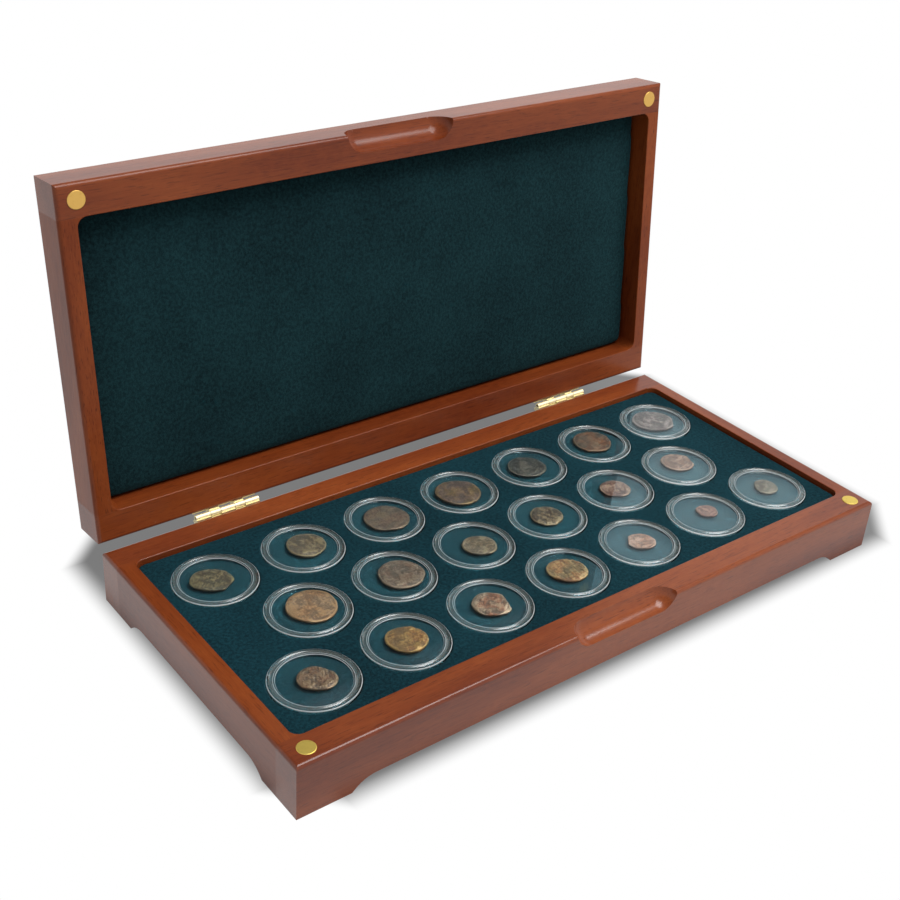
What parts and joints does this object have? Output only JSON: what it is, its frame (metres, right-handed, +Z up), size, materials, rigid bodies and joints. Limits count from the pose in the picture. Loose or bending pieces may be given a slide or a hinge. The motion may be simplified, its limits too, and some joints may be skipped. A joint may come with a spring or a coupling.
{
  "type": "coin display case",
  "caption": "Hinged wooden display case, shown open, with a velvet tray that holds coins in round clear capsules; the lid stops upright, finger scoops and magnets at the front.",
  "frame": {"origin": "on the surface the feet stand on, under the middle of the whole case with its lid open", "axes": "+Z up, +X to the right along the hinge line, +Y to the back, where the lid is; -Y is the front with the finger scoops"},
  "size_m": [0.34, 0.2032, 0.1918],
  "materials": {
    "case_wood": "reddish-brown stain under satin lacquer",
    "panel_wood": "thin stained panel, hardly lacquered",
    "velvet": "dark teal velvet",
    "brass": "polished brass",
    "clear_plastic": "clear polished plastic",
    "coin_brown": "worn bronze, brown patina",
    "coin_olive": "worn bronze, olive patina",
    "coin_grey": "worn bronze, dark grey-green patina",
    "coin_taupe": "worn bronze, pale taupe patina",
    "coin_copper": "worn bronze, copper-red patina"
  },
  "bodies": {
    "base": {"base_front_rail": "case_wood", "base_back_rail": "case_wood", "base_left_rail": "case_wood", "base_right_rail": "case_wood", "base_bottom_panel": "panel_wood", "tray_underlay": "velvet", "coin_tray": "velvet", "base_magnets": "brass", "base_hinge_leaves": "brass", "base_hinge_screws": "brass", "hinge_pins": "brass"},
    "lid": {"lid_front_rail": "case_wood", "lid_back_rail": "case_wood", "lid_left_rail": "case_wood", "lid_right_rail": "case_wood", "lid_top_panel": "case_wood", "lid_pad": "velvet", "lid_magnets": "brass", "lid_hinge_leaves": "brass", "lid_hinge_screws": "brass"},
    "capsule_01": {"capsule_01": "clear_plastic", "coin_01": "coin_olive"},
    "capsule_02": {"capsule_02": "clear_plastic", "coin_02": "coin_grey"},
    "capsule_03": {"capsule_03": "clear_plastic", "coin_03": "coin_taupe"},
    "capsule_04": {"capsule_04": "clear_plastic", "coin_04": "coin_brown"},
    "capsule_05": {"capsule_05": "clear_plastic", "coin_05": "coin_grey"},
    "capsule_06": {"capsule_06": "clear_plastic", "coin_06": "coin_copper"},
    "capsule_07": {"capsule_07": "clear_plastic", "coin_07": "coin_grey"},
    "capsule_08": {"capsule_08": "clear_plastic", "coin_08": "coin_copper"},
    "capsule_09": {"capsule_09": "clear_plastic", "coin_09": "coin_taupe"},
    "capsule_10": {"capsule_10": "clear_plastic", "coin_10": "coin_grey"},
    "capsule_11": {"capsule_11": "clear_plastic", "coin_11": "coin_brown"},
    "capsule_12": {"capsule_12": "clear_plastic", "coin_12": "coin_copper"},
    "capsule_13": {"capsule_13": "clear_plastic", "coin_13": "coin_taupe"},
    "capsule_14": {"capsule_14": "clear_plastic", "coin_14": "coin_copper"},
    "capsule_15": {"capsule_15": "clear_plastic", "coin_15": "coin_brown"},
    "capsule_16": {"capsule_16": "clear_plastic", "coin_16": "coin_brown"},
    "capsule_17": {"capsule_17": "clear_plastic", "coin_17": "coin_olive"},
    "capsule_18": {"capsule_18": "clear_plastic", "coin_18": "coin_taupe"},
    "capsule_19": {"capsule_19": "clear_plastic", "coin_19": "coin_taupe"},
    "capsule_20": {"capsule_20": "clear_plastic", "coin_20": "coin_taupe"}
  },
  "joints": [
    {"name": "lid_hinge", "type": "hinge", "parent": "base", "child": "lid", "pos_m": [0, 0.0644, 0.0267], "axis": [-1, 0, 0], "range_deg": [-95.4, 0]},
    {"name": "capsule_01_lift", "type": "slide", "parent": "base", "child": "capsule_01", "axis": [0, 0, 1], "range_m": [0, 0.03]},
    {"name": "capsule_02_lift", "type": "slide", "parent": "base", "child": "capsule_02", "axis": [0, 0, 1], "range_m": [0, 0.03]},
    {"name": "capsule_03_lift", "type": "slide", "parent": "base", "child": "capsule_03", "axis": [0, 0, 1], "range_m": [0, 0.03]},
    {"name": "capsule_04_lift", "type": "slide", "parent": "base", "child": "capsule_04", "axis": [0, 0, 1], "range_m": [0, 0.03]},
    {"name": "capsule_05_lift", "type": "slide", "parent": "base", "child": "capsule_05", "axis": [0, 0, 1], "range_m": [0, 0.03]},
    {"name": "capsule_06_lift", "type": "slide", "parent": "base", "child": "capsule_06", "axis": [0, 0, 1], "range_m": [0, 0.03]},
    {"name": "capsule_07_lift", "type": "slide", "parent": "base", "child": "capsule_07", "axis": [0, 0, 1], "range_m": [0, 0.03]},
    {"name": "capsule_08_lift", "type": "slide", "parent": "base", "child": "capsule_08", "axis": [0, 0, 1], "range_m": [0, 0.03]},
    {"name": "capsule_09_lift", "type": "slide", "parent": "base", "child": "capsule_09", "axis": [0, 0, 1], "range_m": [0, 0.03]},
    {"name": "capsule_10_lift", "type": "slide", "parent": "base", "child": "capsule_10", "axis": [0, 0, 1], "range_m": [0, 0.03]},
    {"name": "capsule_11_lift", "type": "slide", "parent": "base", "child": "capsule_11", "axis": [0, 0, 1], "range_m": [0, 0.03]},
    {"name": "capsule_12_lift", "type": "slide", "parent": "base", "child": "capsule_12", "axis": [0, 0, 1], "range_m": [0, 0.03]},
    {"name": "capsule_13_lift", "type": "slide", "parent": "base", "child": "capsule_13", "axis": [0, 0, 1], "range_m": [0, 0.03]},
    {"name": "capsule_14_lift", "type": "slide", "parent": "base", "child": "capsule_14", "axis": [0, 0, 1], "range_m": [0, 0.03]},
    {"name": "capsule_15_lift", "type": "slide", "parent": "base", "child": "capsule_15", "axis": [0, 0, 1], "range_m": [0, 0.03]},
    {"name": "capsule_16_lift", "type": "slide", "parent": "base", "child": "capsule_16", "axis": [0, 0, 1], "range_m": [0, 0.03]},
    {"name": "capsule_17_lift", "type": "slide", "parent": "base", "child": "capsule_17", "axis": [0, 0, 1], "range_m": [0, 0.03]},
    {"name": "capsule_18_lift", "type": "slide", "parent": "base", "child": "capsule_18", "axis": [0, 0, 1], "range_m": [0, 0.03]},
    {"name": "capsule_19_lift", "type": "slide", "parent": "base", "child": "capsule_19", "axis": [0, 0, 1], "range_m": [0, 0.03]},
    {"name": "capsule_20_lift", "type": "slide", "parent": "base", "child": "capsule_20", "axis": [0, 0, 1], "range_m": [0, 0.03]}
  ]
}
